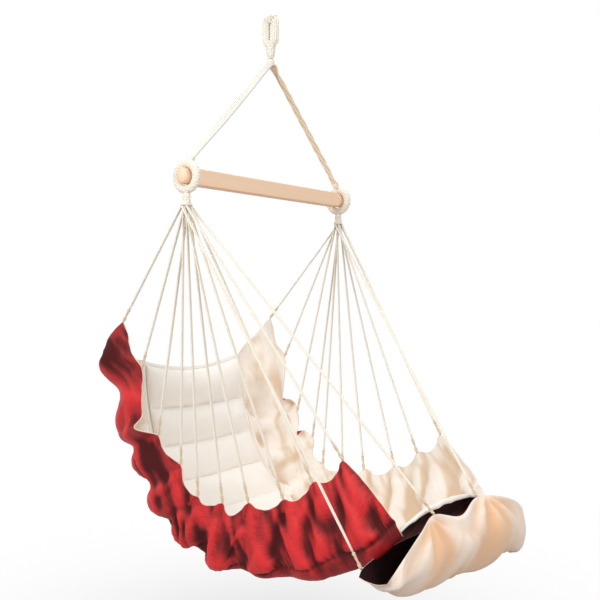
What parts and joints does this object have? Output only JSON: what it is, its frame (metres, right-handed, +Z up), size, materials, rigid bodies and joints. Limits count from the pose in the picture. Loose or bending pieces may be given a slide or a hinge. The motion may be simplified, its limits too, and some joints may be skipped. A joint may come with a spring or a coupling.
{
  "type": "hammock chair",
  "caption": "Hanging cloth chair: a rope eye and cord triangle hold a spreader bar, cords fan out to a bucket seat with a quilted pad, and a sling serves as leg rest.",
  "frame": {"origin": "the point where the hook bears, at the top of the slot in the hanging eye", "axes": "+X along the spreader bar towards the sitter's left, the sitter faces -Y, +Z up"},
  "size_m": [0.864, 1.1338, 1.7683],
  "materials": {
    "rope": "cream cotton cord, matt",
    "beech": "pale sanded beech, oiled",
    "red_cloth": "deep red woven cotton, lined with cream",
    "cream_cloth": "cream woven cotton"
  },
  "bodies": {
    "eye": {"hanging_eye": "rope", "throat_seizing": "rope"},
    "knot": {"throat_knot": "rope"},
    "suspension": {"suspension_rope_right": "rope", "suspension_rope_left": "rope"},
    "seat": {"ring_core_right": "rope", "ring_serving_right": "rope", "neck_binding_right": "rope", "ring_core_left": "rope", "ring_serving_left": "rope", "neck_binding_left": "rope", "side_panel_right": "red_cloth", "side_panel_left": "red_cloth", "base_panel": "red_cloth", "quilted_pad": "cream_cloth", "seat_cord_right_1": "rope", "seat_cord_right_2": "rope", "seat_cord_right_3": "rope", "seat_cord_right_4": "rope", "seat_cord_right_5": "rope", "seat_cord_right_6": "rope", "seat_cord_right_7": "rope", "seat_cord_right_8": "rope", "seat_cord_right_9": "rope", "seat_cord_right_10": "rope", "seat_cord_left_1": "rope", "seat_cord_left_2": "rope", "seat_cord_left_3": "rope", "seat_cord_left_4": "rope", "seat_cord_left_5": "rope", "seat_cord_left_6": "rope", "seat_cord_left_7": "rope", "seat_cord_left_8": "rope", "seat_cord_left_9": "rope", "seat_cord_left_10": "rope"},
    "bar": {"spreader_bar": "beech"},
    "legrest": {"legrest_sling": "cream_cloth", "legrest_cord_right_front": "rope", "legrest_cord_right_rear": "rope", "legrest_cord_left_front": "rope", "legrest_cord_left_rear": "rope"}
  },
  "joints": [
    {"name": "chair_turn", "type": "hinge", "parent": "eye", "child": "knot", "pos_m": [0, 0, -0.1293], "axis": [0, 0, 1], "range_deg": [-90, 90]},
    {"name": "chair_swing", "type": "hinge", "parent": "knot", "child": "suspension", "pos_m": [0, 0, -0.1293], "axis": [1, 0, 0], "range_deg": [-30, 30]},
    {"name": "seat_tilt", "type": "hinge", "parent": "suspension", "child": "seat", "pos_m": [0, 0, -0.5523], "axis": [1, 0, 0], "range_deg": [-20, 20]},
    {"name": "bar_roll", "type": "hinge", "parent": "seat", "child": "bar", "pos_m": [0, 0, -0.551], "axis": [1, 0, 0], "continuous": true},
    {"name": "legrest_swing", "type": "hinge", "parent": "seat", "child": "legrest", "pos_m": [0, 0, -0.639], "axis": [1, 0, 0], "range_deg": [-28, 0]}
  ]
}
